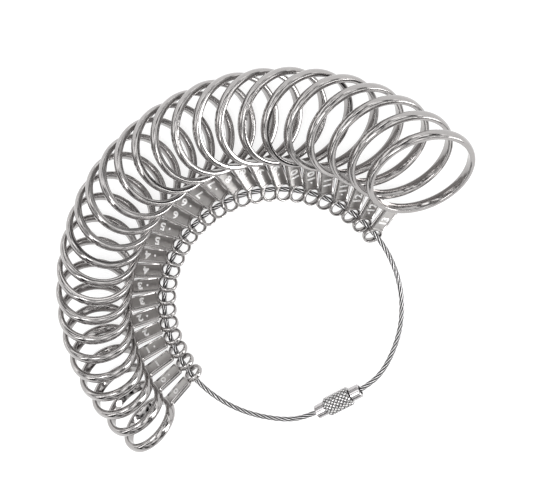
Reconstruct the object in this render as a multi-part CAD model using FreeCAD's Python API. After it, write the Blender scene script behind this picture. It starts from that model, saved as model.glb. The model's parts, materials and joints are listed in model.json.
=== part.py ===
"""Ring sizer set: one-piece metal ring gauges threaded on a wire-rope loop with a screw barrel clasp.

Millimetres and degrees. The set lies on a table: the loop is flat, the gauges fan out round its back
half from the smallest on the left to the largest on the right, each leaning back on the one before it,
and the clasp is at the front. +Z is up and the origin is the middle of the set's footprint, on the table.
"""
import FreeCAD, Part
import math
import os
from FreeCAD import Matrix, Placement, Vector

# sizes of the ring gauges: US ring sizes in halves, and the inside diameter that belongs to each
SMALLEST_SIZE = 0.0
LARGEST_SIZE = 13.0
SIZE_STEP = 0.5
DIAMETER_AT_ZERO = 11.63
DIAMETER_PER_SIZE = 0.8128

# hoop of a gauge: a band with a flat bore and a crowned outside
WALL = 1.35
BAND_WIDTH = 2.3
CROWN = 0.4
CROWN_FLAT = 0.9

# tag of a gauge: a bar between eyelet and hoop, with a sunk number panel between two raised rims
TAG_REACH = 8.1
TAG_WIDTH = 3.4
TAG_THICKNESS = 1.2
RIM_WIDTH = 0.4
PANEL_DEPTH = 0.2
PANEL_MARGIN = 0.4
SIDE_GROOVE_DEPTH = 0.14
SIDE_GROOVE_WIDTH = 0.4
FLARE_RADIUS = 0.8

# eyelet of a gauge: a bead-like ring, through which the cable runs with room to slide
EYELET_CLEARANCE = 1.05
EYELET_SECTION = 0.65
EYELET_THICKNESS = 1.3
EYELET_BEVEL = 0.3
EYELET_MOUTH = 0.3
EYELET_INSET = 0.5

# cable: one turn of wire rope, with an easy bend on each side of the clasp
CABLE_DIAMETER = 1.14
LOOP_RADIUS = 26.9
CLASP_DISTANCE = 25.7
BEND_RADIUS = 8.0

# clasp: a knurled barrel turns on the swivel ferrule's neck and screws onto the other ferrule's stud
BARREL_DIAMETER = 4.5
BARREL_LENGTH = 6.2
BARREL_CHAMFER = 0.3
BARREL_LIP = 0.7
FERRULE_DIAMETER = 3.2
FERRULE_SHOWING = 2.6
FERRULE_EDGE = 0.2
MOUTH_DIAMETER = 2.1
MOUTH_DEPTH = 1.1
CABLE_GRIP = 3.6
STUD_DIAMETER = 2.6
STUD_LENGTH = 2.6
NECK_DIAMETER = 2.3
FLANGE_DIAMETER = 3.3
FLANGE_THICKNESS = 0.9
TURNING_CLEARANCE = 0.05
FACE_GAP = 0.1
CABLE_CLEARANCE = 0.03

# fan of gauges: where the first and last eyelets are round the loop, and how the gauges lie,
# each attitude given for the smallest, the middle and the largest gauge
FAN_FIRST = 189.4
FAN_LAST = 10.4
FAN_END_SPREAD = 0.022
LEAN = (24.0, 47.5, 47.0)
TURN = (2.0, -3.3, -6.7)


def along(values, share):
    """Quadratic through the values at the start, the middle and the end of the fan."""
    first, middle, last = values
    return (first * (1 - share) * (1 - 2 * share) + middle * 4 * share * (1 - share)
            + last * share * (2 * share - 1))


def sizes():
    count = round((LARGEST_SIZE - SMALLEST_SIZE) / SIZE_STEP) + 1
    return [SMALLEST_SIZE + i * SIZE_STEP for i in range(count)]


def gauge_name(size):
    whole = int(size)
    return f"gauge_{whole}" if size == whole else f"gauge_{whole}_5"


def bore_radius(size):
    return (DIAMETER_AT_ZERO + DIAMETER_PER_SIZE * size) / 2


def hoop_distance(size):
    """From the eyelet's centre to the hoop's."""
    return TAG_REACH + bore_radius(size) + WALL


def share_of(size):
    return (size - SMALLEST_SIZE) / (LARGEST_SIZE - SMALLEST_SIZE)


def fan_angle(size):
    """Angle round the loop of a gauge's eyelet; the gauges stand a little wider apart at both ends."""
    x = 2 * share_of(size) - 1
    middle = (FAN_FIRST + FAN_LAST) / 2
    half = (FAN_FIRST - FAN_LAST) / 2
    return middle - half * ((1 - FAN_END_SPREAD) * x + FAN_END_SPREAD * x ** 3)


def reach(corners, lean):
    """How far below its centre a leaning ring reaches, from its section's corners at (radius, height)."""
    angle = math.radians(lean)
    return max(radius * math.cos(angle) + height * math.sin(angle) for radius, height in corners)


def eyelet_hole():
    return CABLE_DIAMETER / 2 + EYELET_CLEARANCE


def eyelet_outside():
    return eyelet_hole() + EYELET_SECTION


def eyelet_corners():
    """Section of a bead-like ring: its mouth opens out on both faces, and its outer edges are bevelled."""
    inside, outside = eyelet_hole(), eyelet_outside()
    half = EYELET_THICKNESS / 2
    return [(inside + EYELET_MOUTH, -half), (inside, EYELET_MOUTH - half), (inside, half - EYELET_MOUTH),
            (inside + EYELET_MOUTH, half), (outside - EYELET_BEVEL, half), (outside, half - EYELET_BEVEL),
            (outside, EYELET_BEVEL - half), (outside - EYELET_BEVEL, -half)]


def cable_height():
    """The barrel lies on the table, or else the lowest eyelet does, and that sets how high the cable runs."""
    eyelets = [reach(eyelet_corners(), along(LEAN, share_of(size))) for size in sizes()]
    return max(BARREL_DIAMETER / 2, *eyelets)


def band_corners(size):
    """Corners of a hoop's section as (radius, height): flat bore, flat sides and a crowned outside."""
    inside = bore_radius(size)
    outside = inside + WALL
    half = BAND_WIDTH / 2
    flat = CROWN_FLAT / 2
    return [(inside, -half), (inside, half), (outside - CROWN, half), (outside, flat), (outside, -flat),
            (outside - CROWN, -half)]


def directions(size):
    """Unit vectors of a gauge at rest: along its tag to the hoop, across the tag, and its face's normal."""
    share = share_of(size)
    lean_degrees = along(LEAN, share)
    lean = math.radians(lean_degrees)
    around = math.radians(fan_angle(size) + along(TURN, share))
    outward = Vector(math.cos(around), math.sin(around), 0)
    forward = Vector(math.sin(around), -math.cos(around), 0)
    normal = forward * math.cos(lean) + Vector(0, 0, 1) * math.sin(lean)
    uphill = forward * -math.sin(lean) + Vector(0, 0, 1) * math.cos(lean)
    rise = reach(band_corners(size), lean_degrees) - cable_height()
    pitch = math.asin(rise / (hoop_distance(size) * math.cos(lean)))
    tag = outward * math.cos(pitch) + uphill * math.sin(pitch)
    return tag, normal.cross(tag), normal


def eyelet_centre(size):
    around = math.radians(fan_angle(size))
    radius = LOOP_RADIUS - EYELET_INSET
    return Vector(radius * math.cos(around), radius * math.sin(around), cable_height())


def gauge_placement(size):
    tag, across, normal = directions(size)
    centre = eyelet_centre(size)
    return Placement(Matrix(tag.x, across.x, normal.x, centre.x,
                            tag.y, across.y, normal.y, centre.y,
                            tag.z, across.z, normal.z, centre.z,
                            0, 0, 0, 1))


def arc(start, middle, end):
    return Part.Arc(start, middle, end).toShape()


def line(start, end):
    return Part.LineSegment(start, end).toShape()


def face_of(edges):
    return Part.Face(Part.Wire(edges))


def ring(corners):
    """Section with corners at (radius, height), revolved about the vertical axis."""
    points = [Vector(radius, 0, height) for radius, height in corners]
    edges = [line(a, b) for a, b in zip(points, points[1:] + points[:1])]
    return face_of(edges).revolve(Vector(0, 0, 0), Vector(0, 0, 1), 360)


def hoop(size):
    band = ring(band_corners(size))
    band.translate(Vector(hoop_distance(size), 0, 0))
    return band


def tag_outline(size):
    """Half outline of the tag above its centre line, from the eyelet to a flare tangent to the hoop."""
    distance = hoop_distance(size)
    meets = bore_radius(size) + WALL - CROWN / 2
    half = TAG_WIDTH / 2
    start = eyelet_hole() + EYELET_SECTION / 2
    flare_y = half + FLARE_RADIUS
    flare_x = distance - math.sqrt((meets + FLARE_RADIUS) ** 2 - flare_y ** 2)
    centre = Vector(flare_x, flare_y, 0)
    to_hoop = (Vector(distance, 0, 0) - centre).normalize()
    touch = centre + to_hoop * FLARE_RADIUS
    bottom = Vector(flare_x, half, 0)
    middle_way = (to_hoop + Vector(0, -1, 0)).normalize()
    shoulder = eyelet_outside()
    points = [Vector(start, half - EYELET_SECTION, 0), Vector(shoulder, half, 0), bottom]
    inner = Vector(distance - bore_radius(size) - WALL / 4, 0, 0)
    return points, centre + middle_way * FLARE_RADIUS, touch, inner


def mirrored(point):
    return Vector(point.x, -point.y, point.z)


def side_groove(side):
    """Shallow groove along one side of the tag, between eyelet and flare."""
    start = eyelet_outside() + PANEL_MARGIN
    end = TAG_REACH - FLARE_RADIUS - PANEL_MARGIN
    groove = Part.makeBox(end - start, 2 * SIDE_GROOVE_DEPTH, SIDE_GROOVE_WIDTH)
    groove.translate(Vector(start, side * TAG_WIDTH / 2 - SIDE_GROOVE_DEPTH, -SIDE_GROOVE_WIDTH / 2))
    return groove


def tag(size):
    (start, shoulder, bottom), bend, touch, inner = tag_outline(size)
    upper = [line(start, shoulder), line(shoulder, bottom), arc(bottom, bend, touch), line(touch, inner)]
    lower = [line(inner, mirrored(touch)), arc(mirrored(touch), mirrored(bend), mirrored(bottom)),
             line(mirrored(bottom), mirrored(shoulder)), line(mirrored(shoulder), mirrored(start)),
             line(mirrored(start), start)]
    bar = face_of(upper + lower).extrude(Vector(0, 0, TAG_THICKNESS))
    bar.translate(Vector(0, 0, -TAG_THICKNESS / 2))
    panel_start = eyelet_outside() + PANEL_MARGIN
    panel_length = TAG_REACH - PANEL_MARGIN - panel_start
    panel = Part.makeBox(panel_length, TAG_WIDTH - 2 * RIM_WIDTH, TAG_THICKNESS)
    panel.translate(Vector(panel_start, RIM_WIDTH - TAG_WIDTH / 2, TAG_THICKNESS / 2 - PANEL_DEPTH))
    return bar.cut([panel] + [side_groove(side) for side in (-1, 1)])


def gauge(size):
    solid = hoop(size).fuse([ring(eyelet_corners()), tag(size)]).removeSplitter()
    solid = solid.Solids[0]
    solid.Placement = gauge_placement(size)
    return solid


def bend_half_chord():
    """Half the straight stretch at the clasp, between the two bends that are tangent to the loop."""
    return math.sqrt((LOOP_RADIUS - BEND_RADIUS) ** 2 - (CLASP_DISTANCE - BEND_RADIUS) ** 2)


def cable_tip():
    """How far the cable's two ends stay from the clasp's middle, inside the ferrules."""
    return BARREL_LENGTH / 2 + FERRULE_SHOWING - CABLE_GRIP


def polar(centre, radius, degrees):
    angle = math.radians(degrees)
    return centre + Vector(radius * math.cos(angle), radius * math.sin(angle), 0)


def cable_path():
    height = cable_height()
    loop = Vector(0, 0, height)
    chord = bend_half_chord()
    right = Vector(chord, BEND_RADIUS - CLASP_DISTANCE, height)
    left = Vector(-chord, BEND_RADIUS - CLASP_DISTANCE, height)
    leaves = math.degrees(math.atan2(right.y, right.x))
    bend_middle = (leaves - 90) / 2
    return Part.Wire([
        line(Vector(cable_tip(), -CLASP_DISTANCE, height), Vector(chord, -CLASP_DISTANCE, height)),
        arc(polar(right, BEND_RADIUS, -90), polar(right, BEND_RADIUS, bend_middle),
            polar(right, BEND_RADIUS, leaves)),
        arc(polar(loop, LOOP_RADIUS, leaves), polar(loop, LOOP_RADIUS, 90),
            polar(loop, LOOP_RADIUS, 180 - leaves)),
        arc(polar(left, BEND_RADIUS, 180 - leaves), polar(left, BEND_RADIUS, 180 - bend_middle),
            polar(left, BEND_RADIUS, 270)),
        line(Vector(-chord, -CLASP_DISTANCE, height), Vector(-cable_tip(), -CLASP_DISTANCE, height)),
    ])


def cable():
    path = cable_path()
    start = Vector(cable_tip(), -CLASP_DISTANCE, cable_height())
    section = Part.Wire(Part.makeCircle(CABLE_DIAMETER / 2, start, Vector(1, 0, 0)))
    return path.makePipeShell([section], True, False)


def clasp_axis(solid):
    """Moves a piece turned about +X at the origin onto the clasp's axis."""
    solid.translate(Vector(0, -CLASP_DISTANCE, cable_height()))
    return solid


def turned(profile):
    """Solid of revolution about X from its half section, points of (x, radius)."""
    points = [Vector(x, 0, radius) for x, radius in profile]
    edges = [line(a, b) for a, b in zip(points, points[1:] + points[:1]) if a != b]
    return face_of(edges).revolve(Vector(0, 0, 0), Vector(1, 0, 0), 360)


def ferrule_bore(side):
    """Half section of the cable's blind hole, widened at its mouth, from the mouth inwards."""
    mouth = BARREL_LENGTH / 2 + FERRULE_SHOWING
    hole = CABLE_DIAMETER / 2 + CABLE_CLEARANCE
    end = cable_tip() - CABLE_CLEARANCE
    throat = mouth - MOUTH_DEPTH
    return [(side * mouth, MOUTH_DIAMETER / 2), (side * throat, MOUTH_DIAMETER / 2),
            (side * throat, hole), (side * end, hole), (side * end, 0)]


def sleeve_outside(side):
    """Half section of a ferrule's showing sleeve, from beside the barrel out to its mouth."""
    mouth = BARREL_LENGTH / 2 + FERRULE_SHOWING
    inner = BARREL_LENGTH / 2 + FACE_GAP
    radius = FERRULE_DIAMETER / 2
    return [(side * inner, radius - FERRULE_EDGE), (side * (inner + FERRULE_EDGE), radius),
            (side * (mouth - FERRULE_EDGE), radius), (side * mouth, radius - FERRULE_EDGE)]


def stud_ferrule():
    stud = STUD_DIAMETER / 2
    inner = BARREL_LENGTH / 2 + FACE_GAP
    tip = inner - FACE_GAP - STUD_LENGTH
    profile = [(-tip, 0), (-tip, stud - FERRULE_EDGE), (-tip - FERRULE_EDGE, stud), (-inner, stud)]
    return clasp_axis(turned(profile + sleeve_outside(-1) + ferrule_bore(-1)))


def swivel_ferrule():
    neck = NECK_DIAMETER / 2
    flange = FLANGE_DIAMETER / 2
    inner = BARREL_LENGTH / 2 + FACE_GAP
    flange_outer = BARREL_LENGTH / 2 - BARREL_LIP - FACE_GAP
    flange_inner = flange_outer - FLANGE_THICKNESS
    profile = [(flange_inner, 0), (flange_inner, flange), (flange_outer, flange), (flange_outer, neck),
               (inner, neck)]
    return clasp_axis(turned(profile + sleeve_outside(1) + ferrule_bore(1)))


def barrel():
    """Sleeve with a threaded end, a cavity for the swivel flange and a lip that holds it in."""
    half = BARREL_LENGTH / 2
    outside = BARREL_DIAMETER / 2
    thread = STUD_DIAMETER / 2 + TURNING_CLEARANCE
    cavity = FLANGE_DIAMETER / 2 + TURNING_CLEARANCE
    lip = NECK_DIAMETER / 2 + TURNING_CLEARANCE
    thread_end = STUD_LENGTH - half
    lip_start = half - BARREL_LIP
    profile = [(-half, thread), (-half, outside - BARREL_CHAMFER), (-half + BARREL_CHAMFER, outside),
               (half - BARREL_CHAMFER, outside), (half, outside - BARREL_CHAMFER), (half, lip),
               (lip_start, lip), (lip_start, cavity), (thread_end, cavity), (thread_end, thread)]
    return clasp_axis(turned(profile))


def nodes():
    made = {gauge_name(size): gauge(size) for size in sizes()}
    made["cable"] = cable()
    made["stud_ferrule"] = stud_ferrule()
    made["swivel_ferrule"] = swivel_ferrule()
    made["barrel"] = barrel()
    return made


def footprint_middle(shapes):
    """Point on the table under the middle of the whole set's box."""
    box = FreeCAD.BoundBox()
    for shape in shapes:
        box.add(shape.optimalBoundingBox(False, False))
    return Vector(box.Center.x, box.Center.y, 0)


def main():
    made = nodes()
    shift = footprint_middle(made.values()) * -1
    os.makedirs("parts", exist_ok=True)
    for name, shape in made.items():
        shape.translate(shift)
        shape.exportStep(f"parts/{name}.step")
    path = cable_path()
    area = math.pi * CABLE_DIAMETER ** 2 / 4
    print(f"cable length {path.Length:.2f}, volume {made['cable'].Volume:.2f}, "
          f"section times length {area * path.Length:.2f}")
    print(f"cable radii {LOOP_RADIUS} and {BEND_RADIUS}; set moved by {shift.x:.3f}, {shift.y:.3f}")
    print(f"{len(made)} nodes, all valid: {all(shape.isValid() for shape in made.values())}")


if __name__ == "__main__":
    main()
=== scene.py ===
"""A ring sizer set on a pale table: 27 cast hoops with numbered tags, threaded by their eyelets on a loop of
wire rope that a knurled screw barrel closes."""
import json
import math

import bmesh
import bpy
from mathutils import Matrix, Vector


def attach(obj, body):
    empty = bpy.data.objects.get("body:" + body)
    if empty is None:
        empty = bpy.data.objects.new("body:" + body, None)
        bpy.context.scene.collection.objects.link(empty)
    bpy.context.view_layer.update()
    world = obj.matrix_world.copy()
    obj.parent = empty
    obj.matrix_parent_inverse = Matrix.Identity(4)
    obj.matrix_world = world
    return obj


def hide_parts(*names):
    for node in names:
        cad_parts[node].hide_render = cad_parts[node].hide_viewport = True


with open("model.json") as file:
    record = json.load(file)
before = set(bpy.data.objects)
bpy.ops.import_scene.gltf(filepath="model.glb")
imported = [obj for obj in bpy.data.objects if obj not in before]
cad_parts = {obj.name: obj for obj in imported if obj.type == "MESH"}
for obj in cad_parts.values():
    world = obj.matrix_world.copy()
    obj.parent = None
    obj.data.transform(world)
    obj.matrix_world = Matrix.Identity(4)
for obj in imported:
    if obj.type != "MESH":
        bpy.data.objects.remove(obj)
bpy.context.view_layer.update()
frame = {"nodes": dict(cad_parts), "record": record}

RECORD = frame["record"]
MM = 0.001

# gauge, in millimetres
WALL = 1.35
BAND_WIDTH = 2.3
CROWN = 0.62
CROWN_FULLNESS = 0.75
BAND_EDGE = 0.3
TAG_REACH = 8.1
TAG_WIDTH = 3.4
TAG_THICKNESS = 1.2
SHOULDER_ROUND = 0.25
RIM_WIDTH = 0.34
RIM_ROUND = 0.14
PANEL_DEPTH = 0.2
PANEL_STEP = 0.02
PANEL_END_STEP = 0.05
PANEL_MARGIN = 0.4
PANEL_FROM_EYELET = 0.05
SIDE_GROOVE = 0.14
GROOVE_MOUTH_HALF = 0.26
GROOVE_FLOOR_HALF = 0.16
FLARE_RADIUS = 0.8
EYELET_HOLE_RADIUS = 1.62
EYELET_SECTION = 0.67
EYELET_THICKNESS = 1.3
EYELET_SQUARENESS = 2.4
NUMERAL_SIZE = 2.55
NUMERAL_STROKE = 0.04
NUMERAL_RISE = 0.15
NUMERAL_BEVEL = 0.03
NUMERAL_TOWARDS_HOOP = 0.45
TWO_FIGURES_TOWARDS_HOOP = -0.3

# cable and clasp, in millimetres
CABLE_DIAMETER = 1.14
LOOP_RADIUS = 26.9
CLASP_DISTANCE = 25.7
CABLE_TIP = 2.1
LOOP_LEAVES = -69.47
BEND_CORNER = 8.08
LOOP_CORNERS = 16
STRANDS = 6
LAY_LENGTH = 9.6
STRAND_STEP = 0.35
BARREL_DIAMETER = 4.5
BARREL_LENGTH = 6.2
BARREL_BORE_RADIUS = 1.4
BARREL_CHAMFER = 0.3
KNURL_TEETH = 14
KNURL_LEAD = 1.0
KNURL_DEPTH = 0.34
KNURL_FLAT = 0.6
KNURL_MARGIN = 0.12
KNURL_ROW_MARGIN = 0.05

# floor, in millimetres
FLOOR_HALF = 2000.0
FLOOR_DROP = 0.02

# fineness of the meshes, in steps, millimetres and degrees
HOOP_SEGMENTS = 120
CROWN_STEPS = 14
EDGE_STEPS = 4
EYELET_SEGMENTS = 48
EYELET_STEPS = 16
FLARE_STEPS = 6
STATION_SPACING = 0.2
STRAND_SIDES = 10
KNURL_SEGMENTS = 16 * KNURL_TEETH
KNURL_ROWS = 90
MERGE_DISTANCE = 1e-4
CORNER_ANGLE = 38
KNURL_CORNER_ANGLE = 30

# places of a gauge's metals in its mesh
PANEL_METAL = 1
FIGURE_METAL = 2

# camera, in millimetres and degrees
AIM = Vector((2.39, 2.91, 8.0))
CAMERA_DISTANCE = 500.0
CAMERA_AZIMUTH = 35.86
CAMERA_ELEVATION = 73.78
CAMERA_ROLL = -155.13
LENS = 152.9


# ---------------------------------------------------------------- node trees

class Value:
    """A node's output that can be used in arithmetic. Each operation adds its Math node."""

    def __init__(self, tree, socket):
        self.tree = tree
        self.socket = socket

    def maths(self, operation, *others):
        return self.tree.node("ShaderNodeMath", {"operation": operation}, dict(enumerate((self, *others))))

    def __add__(self, other):
        return self.maths("ADD", other)

    __radd__ = __add__

    def __sub__(self, other):
        return self.maths("SUBTRACT", other)

    def __rsub__(self, other):
        return self.tree.node("ShaderNodeMath", {"operation": "SUBTRACT"}, {0: other, 1: self})

    def __mul__(self, other):
        return self.maths("MULTIPLY", other)

    __rmul__ = __mul__

    def __truediv__(self, other):
        return self.maths("DIVIDE", other)

    def __rtruediv__(self, other):
        return self.tree.node("ShaderNodeMath", {"operation": "DIVIDE"}, {0: other, 1: self})


class Tree:
    """A node tree with one method that makes any node."""

    def __init__(self, tree):
        self.tree = tree

    def node(self, kind, settings=None, inputs=None, output=0):
        made = self.tree.nodes.new(kind)
        for name, setting in (settings or {}).items():
            if name == "stops":
                self.set_stops(made.color_ramp, setting)
            else:
                setattr(made, name, setting)
        for key, value in (inputs or {}).items():
            if isinstance(value, Value):
                self.tree.links.new(value.socket, made.inputs[key])
            else:
                made.inputs[key].default_value = value
        return Value(self, made.outputs[output]) if made.outputs else made

    @staticmethod
    def set_stops(ramp, stops):
        while len(ramp.elements) < len(stops):
            ramp.elements.new(1.0)
        for element, (place, grey) in zip(ramp.elements, stops):
            element.position = place
            element.color = (grey, grey, grey, 1.0)

    def vectors(self, operation, inputs, output=0):
        return self.node("ShaderNodeVectorMath", {"operation": operation}, inputs, output)

    def other(self, value, output):
        """Another output of the node that value comes from."""
        return Value(self, value.socket.node.outputs[output])


# ---------------------------------------------------------------- materials

def metal(name, colour, roughness, spread, wave, wave_scale, grain, grain_scale):
    """Bare metal: slightly uneven polish, a soft waviness of the surface and a fine grain. The wave and the
    grain are heights in millimetres, and their scales count the bumps in a metre."""
    material = bpy.data.materials.new(name)
    material.use_nodes = True
    tree = Tree(material.node_tree)
    shader = material.node_tree.nodes["Principled BSDF"]
    place = tree.other(tree.node("ShaderNodeTexCoord"), "Object")
    broad = tree.node("ShaderNodeTexNoise", inputs={"Vector": place, "Scale": wave_scale, "Detail": 2.0})
    fine = tree.node("ShaderNodeTexNoise", inputs={"Vector": place, "Scale": grain_scale, "Detail": 3.0})
    darker = (*[c * 0.9 for c in colour], 1.0)
    lighter = (*[min(c * 1.08, 1.0) for c in colour], 1.0)
    tint = tree.node("ShaderNodeMix", {"data_type": "RGBA"}, {"Factor": broad, 6: darker, 7: lighter},
                     output=2)
    rough = broad * spread + fine * (spread / 2) + (roughness - spread * 0.75)
    waved = tree.node("ShaderNodeBump", inputs={"Height": broad, "Distance": wave * MM})
    grained = tree.node("ShaderNodeBump", inputs={"Height": fine, "Distance": grain * MM, "Normal": waved})
    shader.inputs["Metallic"].default_value = 1.0
    for socket, value in (("Base Color", tint), ("Roughness", rough), ("Normal", grained)):
        material.node_tree.links.new(value.socket, shader.inputs[socket])
    return material


def darken(tree, value, stops):
    """Paints shade: multiplies a metal's colour by a ramp over a value."""
    shader = tree.tree.nodes["Principled BSDF"]
    plain = Value(tree, shader.inputs["Base Color"].links[0].from_socket)
    shade = tree.node("ShaderNodeValToRGB", {"stops": stops}, {"Fac": value})
    mix = tree.node("ShaderNodeMix", {"data_type": "RGBA", "blend_type": "MULTIPLY"},
                    {"Factor": 1.0, 6: plain, 7: shade}, output=2)
    tree.tree.links.new(mix.socket, shader.inputs["Base Color"])


def attribute(tree, name, output):
    """A value that the piece's mesh keeps at each of its points."""
    return tree.other(tree.node("ShaderNodeAttribute", {"attribute_name": name}), output)


def rope_metal():
    """Steel strands with painted shade: dark where their sides face each other, in the grooves between them.
    """
    material = metal("rope_steel", (0.62, 0.61, 0.615), roughness=0.3, spread=0.1, wave=0.02,
                     wave_scale=900.0, grain=0.01, grain_scale=9000.0)
    tree = Tree(material.node_tree)
    normal = tree.other(tree.node("ShaderNodeNewGeometry"), "Normal")
    facing = tree.vectors("DOT_PRODUCT", {0: normal, 1: attribute(tree, "outwards", "Vector")}, "Value")
    # painted shade between the strands, where a strand's side faces inwards
    darken(tree, facing, [(0.4, 0.02), (0.72, 0.3), (0.96, 0.9)])
    return material


def knurl_metal():
    """Bright diamonds, with painted shade darkening the grooves between them."""
    material = metal("knurled_steel", (0.72, 0.71, 0.71), roughness=0.2, spread=0.06, wave=0.02,
                     wave_scale=500.0, grain=0.006, grain_scale=7000.0)
    tree = Tree(material.node_tree)
    # painted shade in the knurl's grooves, darkest where the ridge is lowest
    darken(tree, attribute(tree, "ridge", "Fac"), [(0.04, 0.1), (0.22, 0.35), (0.42, 1.0)])
    return material


def pale_floor():
    material = bpy.data.materials.new("pale_floor")
    material.use_nodes = True
    shader = material.node_tree.nodes["Principled BSDF"]
    shader.inputs["Base Color"].default_value = (0.35, 0.35, 0.35, 1.0)
    shader.inputs["Roughness"].default_value = 0.9
    shader.inputs["Specular IOR Level"].default_value = 0.0
    shader.inputs["Emission Color"].default_value = (1.0, 1.0, 1.0, 1.0)
    shader.inputs["Emission Strength"].default_value = 0.8
    return material


def figure_metal():
    """Cast figures, duller than the polished metal round them, and paler: the pale colour is a painted
    highlight for the light their raised faces catch.
    """
    # painted highlight: a near-white colour, only partly metallic, keeps the figures bright
    material = metal("figures", (1.0, 0.99, 0.98), roughness=0.5, spread=0.06, wave=0.02, wave_scale=700.0,
                     grain=0.004, grain_scale=9000.0)
    material.node_tree.nodes["Principled BSDF"].inputs["Metallic"].default_value = 0.4
    return material


POLISHED = metal("polished_steel", (0.39, 0.376, 0.371), roughness=0.09, spread=0.06, wave=0.05,
                 wave_scale=350.0, grain=0.004, grain_scale=6000.0)
SATIN = metal("satin_panel", (0.5, 0.485, 0.475), roughness=0.3, spread=0.1, wave=0.02, wave_scale=700.0,
              grain=0.012, grain_scale=9000.0)
FIGURES = figure_metal()
ROPE = rope_metal()
KNURLED = knurl_metal()
BRIGHT = metal("clasp_steel", (0.5, 0.485, 0.49), roughness=0.15, spread=0.06, wave=0.02, wave_scale=500.0,
               grain=0.006, grain_scale=7000.0)


# ---------------------------------------------------------------- mesh helpers

def ring_faces(bm, rings, closed=True, material=lambda place: 0):
    """Joins rings of vertices, each to the next, and the last to the first where closed is true. material
    gives a face's metal from its place round the ring."""
    count = len(rings)
    for i in range(count if closed else count - 1):
        near, far = rings[i], rings[(i + 1) % count]
        for j in range(len(near)):
            k = (j + 1) % len(near)
            face = bm.faces.new((near[j], near[k], far[k], far[j]))
            face.material_index = material(j)


def lathe(bm, profile, centre_x, segments):
    """Turns a closed profile of (radius, height) round the vertical axis through centre_x."""
    rings = []
    for i in range(segments):
        turn = 2 * math.pi * i / segments
        rings.append([bm.verts.new((centre_x + r * math.cos(turn), r * math.sin(turn), z))
                      for r, z in profile])
    ring_faces(bm, rings)


def arc_points(centre, radius, start, end, steps):
    """Points on an arc in the profile's plane, angles in degrees."""
    made = []
    for i in range(steps + 1):
        a = math.radians(start + (end - start) * i / steps)
        made.append((centre[0] + radius * math.cos(a), centre[1] + radius * math.sin(a)))
    return made


def band_profile(bore_radius):
    """Section of a hoop: flat bore, softened edges, crowned outside."""
    half = BAND_WIDTH / 2
    e = BAND_EDGE
    shoulder = bore_radius + WALL - CROWN
    lower = arc_points((bore_radius + e, -half + e), e, 180, 270, EDGE_STEPS)
    upper = arc_points((bore_radius + e, half - e), e, 90, 180, EDGE_STEPS)
    crown = []
    for i in range(CROWN_STEPS + 1):
        a = math.radians(-90 + 180 * i / CROWN_STEPS)
        crown.append((shoulder + CROWN * max(math.cos(a), 0.0) ** CROWN_FULLNESS, half * math.sin(a)))
    return lower + crown + upper


def eyelet_profile():
    """Section of an eyelet: a fat rounded bead."""
    middle = EYELET_HOLE_RADIUS + EYELET_SECTION / 2
    power = 2 / EYELET_SQUARENESS
    made = []
    for i in range(EYELET_STEPS):
        a = 2 * math.pi * i / EYELET_STEPS
        c, s = math.cos(a), math.sin(a)
        made.append((middle + EYELET_SECTION / 2 * math.copysign(abs(c) ** power, c),
                     EYELET_THICKNESS / 2 * math.copysign(abs(s) ** power, s)))
    return made


def tag_section(half, depth):
    """Section across a tag: a sunk panel between two rounded rims, and a groove along each side."""
    top = TAG_THICKNESS / 2
    rim = half - RIM_WIDTH
    r = RIM_ROUND
    corner = 0.3 * r
    groove_side = half - 0.7 * SIDE_GROOVE
    panel = [(rim - PANEL_STEP, top - depth), (rim + PANEL_STEP, top - r * min(1, depth / PANEL_DEPTH)),
             (rim + r, top)]
    edge = [(half - r, top), (half - corner, top - corner), (half, top - r), (half, GROOVE_MOUTH_HALF),
            (groove_side, GROOVE_FLOOR_HALF)]
    right = panel + edge + [(half - SIDE_GROOVE, 0.0)] + [(y, -z) for y, z in reversed(edge)]
    return right + [(-y, z) for y, z in reversed(right)]


def tag_stations(bore_radius, distance):
    """(place along the tag, half width, panel depth) from inside the eyelet to inside the hoop's wall."""
    half = TAG_WIDTH / 2
    shoulder = EYELET_HOLE_RADIUS + EYELET_SECTION
    panel_start = shoulder + PANEL_FROM_EYELET
    panel_end = TAG_REACH - PANEL_MARGIN
    meets = bore_radius + WALL - CROWN / 3
    flare_y = half + FLARE_RADIUS
    flare_x = distance - math.sqrt((meets + FLARE_RADIUS) ** 2 - flare_y ** 2)
    touch = math.acos(flare_y / (meets + FLARE_RADIUS))
    stations = [(EYELET_HOLE_RADIUS + EYELET_SECTION / 2, half - 0.8 * EYELET_SECTION, 0.0),
                (shoulder - SHOULDER_ROUND, half - SHOULDER_ROUND, 0.0),
                (shoulder - 0.4 * SHOULDER_ROUND, half - 0.2 * SHOULDER_ROUND, 0.0),
                (panel_start, half, PANEL_DEPTH)]
    for i in range(FLARE_STEPS + 1):
        turn = touch * i / FLARE_STEPS
        x = flare_x + FLARE_RADIUS * math.sin(turn)
        last_x, last_half, last_depth = stations[-1]
        if last_depth and x >= panel_end > last_x + 2 * PANEL_END_STEP:
            stations += [(panel_end - PANEL_END_STEP, last_half, PANEL_DEPTH), (panel_end, last_half, 0.0)]
        if x > panel_start + STATION_SPACING:
            depth = PANEL_DEPTH if x < panel_end else 0.0
            stations.append((x, flare_y - FLARE_RADIUS * math.cos(turn), depth))
    stations.append((distance - bore_radius - WALL / 4, stations[-1][1], 0.0))
    return stations


def tag(bm, bore_radius, distance):
    """A tag, closed at both ends, whose sunk panel is the last strip of its section."""
    sections = []
    for x, half, depth in tag_stations(bore_radius, distance):
        sections.append([bm.verts.new((x, y, z)) for y, z in tag_section(half, depth)])
    panel = len(sections[0]) - 1
    ring_faces(bm, sections, closed=False, material=lambda place: PANEL_METAL if place == panel else 0)
    bm.faces.new(sections[0])
    bm.faces.new(sections[-1])


def evaluated_mesh(holder):
    """The mesh that an object's curve, text or modifier gives. The object itself goes."""
    bpy.context.collection.objects.link(holder)
    made = bpy.data.meshes.new_from_object(holder.evaluated_get(bpy.context.evaluated_depsgraph_get()))
    bpy.data.objects.remove(holder)
    return made


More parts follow.
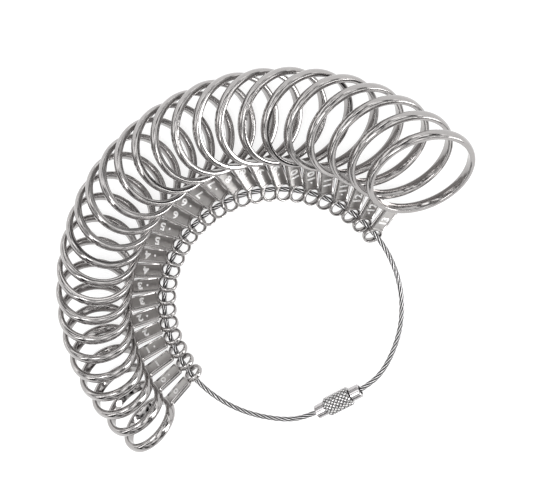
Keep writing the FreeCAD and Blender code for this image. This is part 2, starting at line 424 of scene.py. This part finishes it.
def numerals(bm, text, middle):
    """Raised figures on a tag's panel, read from the eyelet towards the hoop."""
    curve = bpy.data.curves.new("numeral", "FONT")
    curve.body = text
    curve.size = NUMERAL_SIZE
    curve.align_x = "CENTER"
    curve.align_y = "CENTER"
    curve.extrude = NUMERAL_RISE
    curve.offset = NUMERAL_STROKE
    curve.bevel_depth = NUMERAL_BEVEL
    curve.bevel_resolution = 1
    curve.resolution_u = 3
    figures = evaluated_mesh(bpy.data.objects.new("numeral", curve))
    figures.transform(Matrix.Translation((middle, 0, TAG_THICKNESS / 2 - PANEL_DEPTH)))
    figures.materials.clear()
    first = len(bm.faces)
    bm.from_mesh(figures)
    bm.faces.ensure_lookup_table()
    for face in bm.faces[first:]:
        face.material_index = FIGURE_METAL


def finish_mesh(name, bm, placement, materials):
    """A smooth piece from a mesh in millimetres, with its place in its mesh and its corners kept sharp."""
    bmesh.ops.remove_doubles(bm, verts=bm.verts, dist=MERGE_DISTANCE)
    bmesh.ops.recalc_face_normals(bm, faces=bm.faces)
    mesh = bpy.data.meshes.new(name)
    bm.to_mesh(mesh)
    bm.free()
    mesh.transform(placement @ Matrix.Scale(MM, 4))
    for material in materials:
        mesh.materials.append(material)
    for polygon in mesh.polygons:
        polygon.use_smooth = True
    mesh.set_sharp_from_angle(angle=math.radians(CORNER_ANGLE))
    piece = bpy.data.objects.new(name, mesh)
    bpy.context.collection.objects.link(piece)
    return piece


# ---------------------------------------------------------------- gauges

def gauge_text(size):
    """The number on a tag, with a dot before it on half sizes, and where it stands along the panel."""
    whole = int(size)
    dot = "" if size == whole else "·" if whole > 9 else "· "
    return dot + str(whole), TWO_FIGURES_TOWARDS_HOOP if whole > 9 else NUMERAL_TOWARDS_HOOP


def gauge(mount, joint):
    """One gauge, built along its own axes and set where its hinge and its bore are."""
    centre = Vector(joint["pos_m"])
    towards = Vector(mount["pos_m"]) - centre
    distance = towards.length / MM
    along = towards.normalized()
    normal = Vector(mount["axis"])
    across = normal.cross(along)
    placement = Matrix.Translation(centre) @ Matrix((along, across, normal)).transposed().to_4x4()
    bore_radius = mount["dims"]["r_mm"]
    node = joint["child"]
    size = float(node.removeprefix("gauge_").replace("_", "."))
    bm = bmesh.new()
    lathe(bm, band_profile(bore_radius), distance, HOOP_SEGMENTS)
    lathe(bm, eyelet_profile(), 0.0, EYELET_SEGMENTS)
    tag(bm, bore_radius, distance)
    text, towards_hoop = gauge_text(size)
    numerals(bm, text, (EYELET_HOLE_RADIUS + EYELET_SECTION + TAG_REACH) / 2 + towards_hoop)
    piece = finish_mesh("look_" + node, bm, placement, (POLISHED, SATIN, FIGURES))
    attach(piece, node)
    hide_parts(node)


def gauges():
    """A gauge for each bore mount, which gives its hoop's place, and its hinge, which gives its eyelet's."""
    joints = {joint["child"]: joint for joint in RECORD["behaviour"]["joints"]}
    for mount in RECORD["mounts"]:
        if mount["kind"] == "bore":
            gauge(mount, joints["gauge_" + mount["name"].removeprefix("bore_")])


# ---------------------------------------------------------------- cable

def clasp_middle():
    joint = next(j for j in RECORD["behaviour"]["joints"] if j["name"] == "barrel_screw")
    return Vector(joint["pos_m"])


def cable_route():
    """Corners of the cable's route, from inside one ferrule round the loop to inside the other."""
    middle = clasp_middle()
    loop = middle + Vector((0, CLASP_DISTANCE * MM, 0))
    step = (180 - 2 * LOOP_LEAVES) / LOOP_CORNERS
    radius = LOOP_RADIUS / math.cos(math.radians(step / 2)) * MM
    right = [middle + Vector((x * MM, 0, 0)) for x in (CABLE_TIP, BEND_CORNER)]
    left = [middle - Vector((x * MM, 0, 0)) for x in (BEND_CORNER, CABLE_TIP)]
    corners = []
    for i in range(LOOP_CORNERS):
        turn = math.radians(LOOP_LEAVES + step * (i + 0.5))
        corners.append(loop + Vector((radius * math.cos(turn), radius * math.sin(turn), 0)))
    return right + corners + left


def route_line(corners):
    """The cable's smooth centre line through its route."""
    curve = bpy.data.curves.new("route", "CURVE")
    curve.dimensions = "3D"
    curve.resolution_u = 24
    spline = curve.splines.new("NURBS")
    spline.points.add(len(corners) - 1)
    for point, corner in zip(spline.points, corners):
        point.co = (*corner, 1.0)
    spline.order_u = 3
    spline.use_endpoint_u = True
    return evaluated_mesh(bpy.data.objects.new("route", curve))


def geometry_tree(name, inputs):
    """An empty Geometry Nodes group with the given inputs: the group, its tree, and what comes in."""
    group = bpy.data.node_groups.new(name, "GeometryNodeTree")
    group.is_modifier = True
    group.interface.new_socket(name="Geometry", in_out="INPUT", socket_type="NodeSocketGeometry")
    for title, kind in inputs.items():
        group.interface.new_socket(name=title, in_out="INPUT", socket_type=kind)
    group.interface.new_socket(name="Geometry", in_out="OUTPUT", socket_type="NodeSocketGeometry")
    tree = Tree(group)
    source = tree.node("NodeGroupInput")
    return group, tree, source, {title: tree.other(source, title) for title in inputs}


def close_tree(tree, geometry, material):
    """Ends a group with real geometry in its own material."""
    solid = tree.node("GeometryNodeRealizeInstances", inputs={"Geometry": geometry})
    painted = tree.node("GeometryNodeSetMaterial", inputs={"Geometry": solid, "Material": material})
    tree.node("NodeGroupOutput", inputs={"Geometry": painted})


def rope_tree():
    """Lays strands round the line it is given, each one twisted as it goes."""
    group, tree, line, size = geometry_tree("Wire rope", {
        "Strands": "NodeSocketInt", "Rope radius": "NodeSocketFloat", "Lay length": "NodeSocketFloat",
        "Step": "NodeSocketFloat"})
    curve = tree.node("GeometryNodeMeshToCurve", inputs={"Mesh": line})
    upright = tree.node("GeometryNodeSetCurveNormal", {"mode": "Z_UP"}, {"Curve": curve})
    even = tree.node("GeometryNodeResampleCurve", {"mode": "LENGTH"},
                     {"Curve": upright, "Length": size["Step"]})
    copies = tree.node("GeometryNodeDuplicateElements", {"domain": "SPLINE"},
                       {"Geometry": even, "Amount": size["Strands"]})
    number = tree.other(copies, "Duplicate Index")
    length = tree.other(tree.node("GeometryNodeSplineParameter"), "Length")
    turn = (number / size["Strands"] + length / size["Lay length"]) * (2 * math.pi)
    normal = tree.node("GeometryNodeInputNormal")
    tangent = tree.node("GeometryNodeInputTangent")
    sideways = tree.vectors("CROSS_PRODUCT", {0: tangent, 1: normal})
    strand_radius = size["Rope radius"] / 3
    reach = strand_radius * 2
    outwards = tree.vectors("SCALE", {0: normal, "Scale": turn.maths("COSINE") * reach})
    across = tree.vectors("SCALE", {0: sideways, "Scale": turn.maths("SINE") * reach})
    offset = tree.vectors("ADD", {0: outwards, 1: across})
    kept = tree.vectors("NORMALIZE", {0: offset})
    # each point's way out from the rope's middle, kept for the painted shade between the strands
    marked = tree.node("GeometryNodeStoreNamedAttribute", {"data_type": "FLOAT_VECTOR", "domain": "POINT"},
                       {"Geometry": copies, "Name": "outwards", "Value": kept})
    laid = tree.node("GeometryNodeSetPosition", inputs={"Geometry": marked, "Offset": offset})
    both = tree.node("GeometryNodeJoinGeometry", inputs={"Geometry": laid})
    tree.tree.links.new(even.socket, both.socket.node.inputs["Geometry"])
    profile = tree.node("GeometryNodeCurvePrimitiveCircle",
                        inputs={"Resolution": STRAND_SIDES, "Radius": strand_radius})
    solid = tree.node("GeometryNodeCurveToMesh",
                      inputs={"Curve": both, "Profile Curve": profile, "Fill Caps": True})
    close_tree(tree, solid, ROPE)
    return group


def grown(name, mesh, group, sizes):
    """A plain mesh piece made by putting a mesh through a Geometry Nodes group of the given sizes."""
    holder = bpy.data.objects.new(name, mesh)
    modifier = holder.modifiers.new("grow", "NODES")
    modifier.node_group = group
    for socket in group.interface.items_tree:
        if socket.in_out == "INPUT" and socket.name in sizes:
            modifier[socket.identifier] = sizes[socket.name]
    made = evaluated_mesh(holder)
    for polygon in made.polygons:
        polygon.use_smooth = True
    piece = bpy.data.objects.new(name, made)
    bpy.context.collection.objects.link(piece)
    return piece


def cable():
    """The rope, whose strands follow the smooth line through its route."""
    line = route_line(cable_route())
    rope = grown("wire_rope", line, rope_tree(), {
        "Strands": STRANDS, "Rope radius": CABLE_DIAMETER / 2 * MM, "Lay length": LAY_LENGTH * MM,
        "Step": STRAND_STEP * MM})
    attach(rope, "loop")
    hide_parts("cable")


# ---------------------------------------------------------------- clasp

def knurl_tree():
    """Cuts two crossing sets of helical grooves into a turned piece that lies along X."""
    titles = ("Teeth", "Lead", "Depth", "Half length", "Radius")
    group, tree, piece, size = geometry_tree("Diamond knurl", dict.fromkeys(titles, "NodeSocketFloat"))
    x = tree.node("ShaderNodeSeparateXYZ", inputs={"Vector": tree.node("GeometryNodeInputPosition")})
    y, z = tree.other(x, "Y"), tree.other(x, "Z")
    turn = y.maths("ARCTAN2", z) / (2 * math.pi) * size["Teeth"]
    slide = x / size["Lead"]

    def ridge(value):
        return (value.maths("FRACT") * 2 - 1).maths("ABSOLUTE")

    height = ridge(turn + slide).maths("MINIMUM", ridge(turn - slide))
    inside = x.maths("ABSOLUTE").maths("LESS_THAN", size["Half length"])
    far_out = (y * y + z * z).maths("SQRT").maths("GREATER_THAN", size["Radius"])
    cut = (height.maths("MINIMUM", KNURL_FLAT) - KNURL_FLAT) * size["Depth"] * inside * far_out
    radial = tree.node("ShaderNodeCombineXYZ", inputs={"Y": y, "Z": z})
    offset = tree.vectors("SCALE", {0: tree.vectors("NORMALIZE", {0: radial}), "Scale": cut})
    # the ridge height, kept for the painted shade in the knurl's grooves
    marked = tree.node("GeometryNodeStoreNamedAttribute", {"data_type": "FLOAT", "domain": "POINT"},
                       {"Geometry": piece, "Name": "ridge", "Value": height})
    moved = tree.node("GeometryNodeSetPosition", inputs={"Geometry": marked, "Offset": offset})
    close_tree(tree, moved, KNURLED)
    return group


def turned_about_x(bm, profile, segments):
    """Turns a closed profile of (place along X, radius) round the X axis."""
    rings = []
    for i in range(segments):
        a = 2 * math.pi * i / segments
        rings.append([bm.verts.new((x, r * math.sin(a), r * math.cos(a))) for x, r in profile])
    ring_faces(bm, rings)


def barrel_blank():
    """The barrel before its knurl is cut, with rows of points close enough to take it."""
    half, radius = BARREL_LENGTH / 2, BARREL_DIAMETER / 2
    row_end = half - BARREL_CHAMFER - KNURL_ROW_MARGIN
    rows = [(-row_end + 2 * row_end * i / KNURL_ROWS, radius) for i in range(KNURL_ROWS + 1)]
    left = [(-half, BARREL_BORE_RADIUS), (-half, radius - BARREL_CHAMFER), (BARREL_CHAMFER - half, radius)]
    right = [(half - BARREL_CHAMFER, radius), (half, radius - BARREL_CHAMFER), (half, BARREL_BORE_RADIUS)]
    bm = bmesh.new()
    turned_about_x(bm, left + rows + right, KNURL_SEGMENTS)
    bmesh.ops.recalc_face_normals(bm, faces=bm.faces)
    mesh = bpy.data.meshes.new("barrel_blank")
    bm.to_mesh(mesh)
    bm.free()
    return mesh


def barrel():
    """The knurled barrel. Its grooves are cut only where it is wider than the tree's radius."""
    piece = grown("knurled_barrel", barrel_blank(), knurl_tree(), {
        "Teeth": float(KNURL_TEETH), "Lead": KNURL_LEAD, "Depth": KNURL_DEPTH,
        "Half length": BARREL_LENGTH / 2 - KNURL_MARGIN,
        "Radius": BARREL_DIAMETER / 2 - 0.9 * BARREL_CHAMFER})
    piece.data.transform(Matrix.Translation(clasp_middle()) @ Matrix.Scale(MM, 4))
    piece.data.set_sharp_from_angle(angle=math.radians(KNURL_CORNER_ANGLE))
    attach(piece, "barrel")
    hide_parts("barrel")


def ferrules():
    for node in ("stud_ferrule", "swivel_ferrule"):
        for slot in frame["nodes"][node].material_slots:
            slot.material = BRIGHT


# ---------------------------------------------------------------- surroundings

def floor():
    bm = bmesh.new()
    bmesh.ops.create_grid(bm, x_segments=1, y_segments=1, size=FLOOR_HALF)
    piece = finish_mesh("floor", bm, Matrix.Translation((0, 0, -FLOOR_DROP * MM)), (pale_floor(),))


def camera():
    data = bpy.data.cameras.new("camera")
    data.lens = LENS
    data.clip_start = 0.01
    data.clip_end = 50.0
    made = bpy.data.objects.new("camera", data)
    az, el = math.radians(CAMERA_AZIMUTH), math.radians(CAMERA_ELEVATION)
    back = Vector((math.cos(el) * math.cos(az), math.cos(el) * math.sin(az), math.sin(el)))
    roll = Matrix.Rotation(math.radians(CAMERA_ROLL), 4, "Z")
    turn = back.to_track_quat("Z", "Y").to_matrix().to_4x4() @ roll
    made.matrix_world = Matrix.Translation((AIM + back * CAMERA_DISTANCE) * MM) @ turn
    bpy.context.collection.objects.link(made)
    bpy.context.scene.camera = made


def softbox(name, place, size, power):
    """A soft rectangular light in metres and watts that faces the origin."""
    light = bpy.data.lights.new(name, "AREA")
    light.shape = "RECTANGLE"
    light.size, light.size_y = size
    light.energy = power
    made = bpy.data.objects.new(name, light)
    facing = Vector(place).to_track_quat("Z", "Y").to_matrix().to_4x4()
    made.matrix_world = Matrix.Translation(place) @ facing
    bpy.context.collection.objects.link(made)


def studio():
    """A pale tent with darker gaps, and soft lights that draw the highlights."""
    world = bpy.data.worlds.new("tent")
    bpy.context.scene.world = world
    world.use_nodes = True
    tree = Tree(world.node_tree)
    sky = tree.other(tree.node("ShaderNodeTexCoord"), "Generated")
    height = tree.other(tree.node("ShaderNodeSeparateXYZ", inputs={"Vector": sky}), "Z")
    tent = [(0.0, 0.45), (0.26, 0.45), (0.36, 0.22), (0.5, 0.24), (0.6, 0.42), (0.72, 0.55), (1.0, 0.5)]
    shade = tree.node("ShaderNodeValToRGB", {"stops": tent}, {"Fac": height})
    flattened = tree.node("ShaderNodeMapping", inputs={"Vector": sky, "Scale": (1.0, 1.0, 2.0)})
    cloth = tree.node("ShaderNodeTexNoise", inputs={"Vector": flattened, "Scale": 3.2, "Detail": 2.0})
    gaps = [(0.4, 0.0), (0.45, 0.2), (0.5, 0.42), (0.55, 0.65), (0.6, 1.0)]
    folds = tree.node("ShaderNodeValToRGB", {"stops": gaps}, {"Fac": cloth})
    background = world.node_tree.nodes["Background"]
    background.inputs["Color"].default_value = (1.0, 1.0, 1.0, 1.0)
    darker_front = tree.other(height, "Y") * 1.4 + 4.9
    world.node_tree.links.new((shade * folds * darker_front).socket, background.inputs["Strength"])
    softbox("front_right", (0.72, -0.67, 0.17), (0.34, 0.34), 3.0)
    softbox("left", (-0.8, -0.2, 0.5), (0.12, 0.5), 1.0)
    softbox("right", (0.7, -0.5, 0.45), (0.1, 0.4), 0.8)
    softbox("overhead", (-0.22, -0.06, 1.0), (0.3, 0.36), 2.4)
    bpy.context.scene.view_settings.view_transform = "Standard"


camera()
cable()
gauges()
barrel()
ferrules()
floor()
studio()
